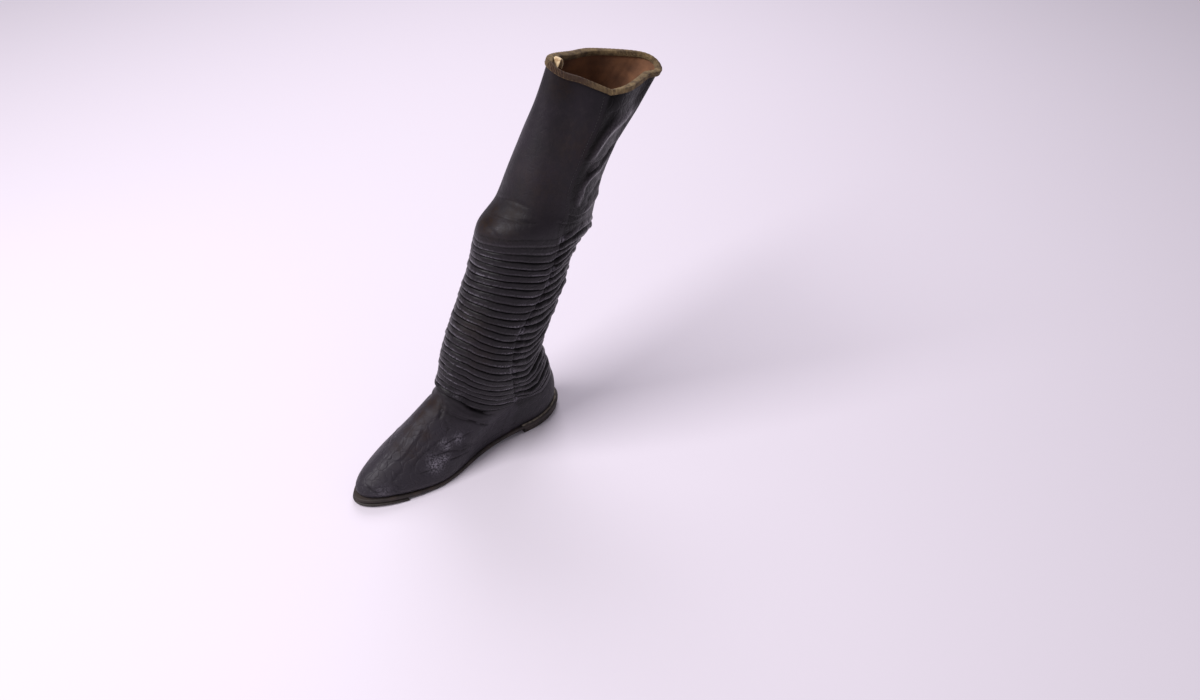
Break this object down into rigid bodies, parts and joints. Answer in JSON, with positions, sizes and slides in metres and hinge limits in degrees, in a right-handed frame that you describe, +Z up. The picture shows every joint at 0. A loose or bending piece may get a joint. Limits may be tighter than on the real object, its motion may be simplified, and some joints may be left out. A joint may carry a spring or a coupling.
{
  "type": "tall boot",
  "caption": "Tall pull-on leather boot with a pleated ankle and lower shaft, a plain top that leans back, a bound collar and a thin flat sole with a low heel.",
  "frame": {"origin": "on the floor under the middle of the heel, at the heel's flat bottom face", "axes": "+X to the toe, +Y to the medial side, +Z up"},
  "size_m": [0.3654, 0.1006, 0.3926],
  "materials": {
    "black_leather": "worn semi-matte with rubbed highlights",
    "sole_leather": "matte, dark olive brown edge",
    "rand_leather": "matte, pale and worn",
    "insole_leather": "matte brown",
    "binding_tape": "matte woven tape",
    "loop_tape": "matte woven tape"
  },
  "bodies": {
    "root": {"upper": "black_leather", "outsole": "sole_leather", "heel_lift": "sole_leather", "toe_piece": "sole_leather", "heel_rand": "rand_leather", "insole": "insole_leather", "collar_binding": "binding_tape", "pull_loop": "loop_tape"}
  },
  "joints": []
}
